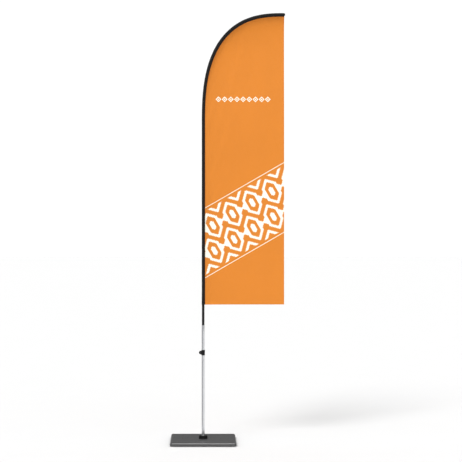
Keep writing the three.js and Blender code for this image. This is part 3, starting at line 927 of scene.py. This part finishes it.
def limited(rest, moved):
    """The simulated billow with a soft limit, rolled back under the arch, its outline kept."""
    arch = smooth_step(rest[:, 2], 1.9, 2.6)
    back = np.maximum(moved[:, 1], 0) * (1 + 2 * arch)
    away = from_seam(rest, seam_line(3 * MM, SEAM_GAP))
    tight_roll = 10 * MM * (1 - np.exp(-away / (14 * MM)))
    slow_roll = 7 * MM * (1 - np.exp(-away / (100 * MM)))
    depth = soft_limit(back, BILLOW) + 0.03 * back + arch * (tight_roll + slow_roll)
    return rest + depth[:, None] * (0, 1, 0)


def hung_cloth():
    """The flag's cloth as it hangs, and the area of its flat cut."""
    cloth, seam = cloth_mesh()
    if cloth.data.polygons[0].normal.y < 0:
        cloth.data.flip_normals()
    cut_area = sum(p.area for p in cloth.data.polygons)
    rest, moved = simulate(cloth, seam)
    cloth.data.vertices.foreach_set("co", limited(rest, moved).astype(np.float32).ravel())
    cloth.data.update()
    modify(cloth, "SUBSURF", levels=1, render_levels=1)
    return cloth, cut_area


def cloth_depth(cloth):
    """A function of x and z that gives the cloth's y there."""
    mesh = cloth.data
    tree = BVHTree.FromPolygons([v.co for v in mesh.vertices], [p.vertices for p in mesh.polygons])

    def depth(x, z):
        hit = tree.ray_cast(Vector((x, -1, z)), Vector((0, 1, 0)))[0]
        if hit is None:
            hit = tree.find_nearest(Vector((x, 0, z)))[0]
        return hit.y

    return depth


def hem(name, depth, start, end, inward, width, thick):
    """A flat folded hem from start to end. Its fold goes round the cloth's edge."""
    start, end, inward = map(np.array, (start, end, inward))
    steps = round(np.linalg.norm(end - start) / (8 * MM))
    fold = -0.4 * MM
    corners = [(fold, -thick), (width, -thick), (width, thick), (fold, thick)]
    section = rounded(corners, 0.9 * thick, steps=3)
    rings = []
    for share in np.linspace(0, 1, steps + 1):
        base = start + (end - start) * share
        flat = [(base + inward * across, lift) for across, lift in section]
        rings.append(np.array([(p[0], depth(p[0], p[1]) + lift, p[1]) for p, lift in flat]))
    return skin(name, rings, sharp=50)


def stitches(name, path, radius, pitch=4.2 * MM, share=0.68):
    """A row of stitches along a path of points: short rods with tapered ends."""
    path = np.array(path)
    run = run_along(path)
    sides, points, faces = 6, [], []

    def at(length):
        return np.array([np.interp(length, run, path[:, k]) for k in range(3)])

    for start in np.arange(pitch * 0.2, run[-1] - pitch, pitch):
        first, last = at(start), at(start + pitch * share)
        along = (last - first) / np.linalg.norm(last - first)
        out = np.cross(along, (0.3, 0.9, 0.31))
        out /= np.linalg.norm(out)
        up = np.cross(along, out)
        for place, size in ((0, 0.35), (0.25, 1), (0.75, 1), (1, 0.35)):
            centre = first + (last - first) * place
            for k in range(sides):
                angle = k * TAU / sides
                spoke = math.cos(angle) * out + math.sin(angle) * up
                points.append(centre + radius * size * spoke)
        base = len(points) - 4 * sides
        for r in range(3):
            for k in range(sides):
                a, b = base + r * sides + k, base + r * sides + (k + 1) % sides
                faces.append((a, b, b + sides, a + sides))
        faces.append(tuple(base + k for k in range(sides)))
        faces.append(tuple(base + 3 * sides + k for k in reversed(range(sides))))
    return mesh_piece(name, points, faces)


def on_cloth(depth, flat_path, lift):
    return [(x, depth(x, z) + lift, z) for x, z in flat_path]


def build_flag():
    cloth, area = hung_cloth()
    depth = cloth_depth(cloth)
    left, right, low, high = 12 * MM, FLAG_RIGHT, FLAG_LOW, ARC_TOP_Z - 11 * MM
    hems = [
        hem("bottom_hem", depth, (left, low), (right - MM, low), (0, 1), 20 * MM, thick=0.6 * MM),
        hem("fly_hem", depth, (right, low), (right, high), (-1, 0), 14 * MM, thick=0.75 * MM),
    ]
    for piece in hems:
        show(piece, "upper_mast", "flag_fabric")
    bottom_row, bottom_end = low + 17 * MM, right - 14 * MM
    fly_row, fly_start, fly_end = right - 11 * MM, low + 2 * MM, high - 8 * MM
    lines = {  # each row's line, and how far the row stands off the cloth
        "bottom": ([(left, bottom_row), (bottom_end, bottom_row)], 0.72 * MM),
        "fly": ([(fly_row, fly_start), (fly_row, fly_end)], 0.87 * MM),
        "seam": (seam_line(5 * MM, FLANGE + 2.4 * MM)[1:-1], 0.3 * MM),
    }
    rows = []
    for side, sign in (("front", -1), ("back", 1)):
        for row, (line, lift) in lines.items():
            line = np.array(line)
            run = run_along(line)
            fine = np.linspace(0, run[-1], round(run[-1] / (5 * MM)) + 1)
            flat = zip(np.interp(fine, run, line[:, 0]), np.interp(fine, run, line[:, 1]))
            path = on_cloth(depth, flat, sign * lift)
            piece = stitches(f"{row}_stitches_{side}", path, 0.28 * MM)
            rows.append(show(piece, "upper_mast", "flag_fabric", material=ORANGE_THREAD))
    modify(cloth, "SOLIDIFY", thickness=0.4 * MM, offset=0)
    soften(cloth, 60)
    show(cloth, "upper_mast", "flag_fabric", "flag_panel")
    for piece in (*hems, *rows):
        piece.parent = cloth
    return cloth, area, [*hems, *rows]


def sleeve_stitches():
    """Black stitches on both faces of the sleeve's sewn edge, and round its cuff."""
    rows = []
    for side, sign in (("front", -1), ("back", 1)):
        flat = seam_line(5 * MM, FLANGE_GAP + FLANGE * 0.5)
        path = [(x, sign * 0.95 * MM, z) for x, z in flat]
        rows.append(stitches(f"sleeve_stitches_{side}", path, 0.25 * MM))
    ring, height, opening = 9.15 * MM, SLEEVE_LOW + CUFF - 3 * MM, math.radians(35)
    turns = np.linspace(opening, TAU - opening, 80)
    path = [(ring * math.cos(a), ring * math.sin(a), height) for a in turns]
    rows.append(stitches("cuff_stitches", path, 0.3 * MM, 3.4 * MM))
    return [show(piece, "upper_mast", "sleeve_fabric", material=BLACK_THREAD) for piece in rows]


# ---- the rest of the CAD nodes ----


def dress_cad_nodes():
    """Gives each CAD node that is still shown its slot's material."""
    slots = {part["node"]: part["material_slot"] for part in frame["record"]["subparts"]}
    for name, node in frame["nodes"].items():
        node.data.materials.clear()
        node.data.materials.append(MATERIALS[slots[name]])


# ---- studio ----


def build_floor():
    made = Surface("floor_paint", specular_ior_level=0.1, roughness=0.9)
    made.colour(made.blend(made.noise(3, 3), (0.57, 0.57, 0.57), (0.58, 0.58, 0.58)))
    reach = 60
    corners = [(-reach, -reach, 0), (reach, -reach, 0), (reach, reach, 0), (-reach, reach, 0)]
    floor = mesh_piece("studio_floor", corners, [(0, 1, 2, 3)])
    floor.data.materials.append(made.material)


def build_card():
    """A dim card close on the left, which only shows as a reflection on the glossy pieces."""
    corners = [(-0.4, -0.6, 0), (-0.4, 1.9, 0), (-0.4, 1.9, 3.2), (-0.4, -0.6, 3.2)]
    card = mesh_piece("side_card", corners, [(0, 1, 2, 3)])
    made = Surface("card_paint", roughness=1.0, emission_color=(1, 1, 1, 1), emission_strength=0.45)
    made.shader.inputs["Base Color"].default_value = (0, 0, 0, 1)
    card.data.materials.append(made.material)
    card.visible_camera = card.visible_diffuse = card.visible_shadow = False


def build_world():
    """White to the camera, an even sky as a light, and a darker horizon in reflections."""
    world = bpy.data.worlds.new("studio")
    bpy.context.scene.world = world
    world.use_nodes = True
    tree = world.node_tree
    tree.nodes.clear()
    direction = tree.nodes.new("ShaderNodeTexCoord").outputs["Generated"]
    split = tree.nodes.new("ShaderNodeSeparateXYZ")
    tree.links.new(direction, split.inputs[0])
    x, y, z = [Num(tree, socket) for socket in split.outputs]
    path = tree.nodes.new("ShaderNodeLightPath")
    up = z.either(0)
    soft = up * 0.3 + 1.12
    mirrored = (x * 0.1 + y * -0.18 + up * up * 2.1 + 0.18).either(0.05)
    glow = soft + Num(tree, path.outputs["Is Glossy Ray"]) * (mirrored - soft)
    seen, light = (tree.nodes.new("ShaderNodeBackground") for _ in range(2))
    seen.inputs["Strength"].default_value = 1.05
    light.inputs["Color"].default_value = seen.inputs["Color"].default_value = (1, 1, 1, 1)
    tree.links.new(glow.socket, light.inputs["Strength"])
    mix = tree.nodes.new("ShaderNodeMixShader")
    tree.links.new(path.outputs["Is Camera Ray"], mix.inputs[0])
    tree.links.new(light.outputs[0], mix.inputs[1])
    tree.links.new(seen.outputs[0], mix.inputs[2])
    tree.links.new(mix.outputs[0], tree.nodes.new("ShaderNodeOutputWorld").inputs[0])


def add_light(name, kind, place, energy, **settings):
    """A light at a place that shines on the middle of the flag."""
    light = bpy.data.lights.new(name, kind)
    light.energy = energy
    for key, value in settings.items():
        setattr(light, key, value)
    lamp = bpy.data.objects.new(name, light)
    bpy.context.scene.collection.objects.link(lamp)
    lamp.location = place
    aim = Vector((0.1, 0, 1.1))
    lamp.rotation_euler = (aim - Vector(place)).to_track_quat("-Z", "Y").to_euler()
    lamp.visible_camera = False
    return lamp


def build_camera():
    """A level camera in front of the mast, shifted so that the mast stands left of the middle."""
    camera = bpy.data.cameras.new("camera")
    camera.sensor_width = 36
    camera.lens = 106.3
    camera.shift_x = 0.0602
    eye = bpy.data.objects.new("camera", camera)
    eye.location = (0, -8.36, 1.292)
    eye.rotation_euler = (math.pi / 2, 0, 0)
    bpy.context.scene.collection.objects.link(eye)
    bpy.context.scene.camera = eye


def build_studio():
    build_camera()
    build_floor()
    build_card()
    build_world()
    add_light("key", "SUN", (-4.65, -8.7, 10.9), 1.9, angle=math.radians(22))
    overhead = add_light("overhead", "AREA", (0.1, -0.6, 7), 360, size=2.2)
    overhead.visible_diffuse = False
    bpy.context.scene.view_settings.view_transform = "Standard"


build_studio()
build_base()
build_hub()
build_spindle()
build_mast()
build_clamp()
sleeve, sleeve_length = build_sleeve()
cloth, cloth_area, flag_rows = build_flag()
sleeve_stitches()
dress_cad_nodes()
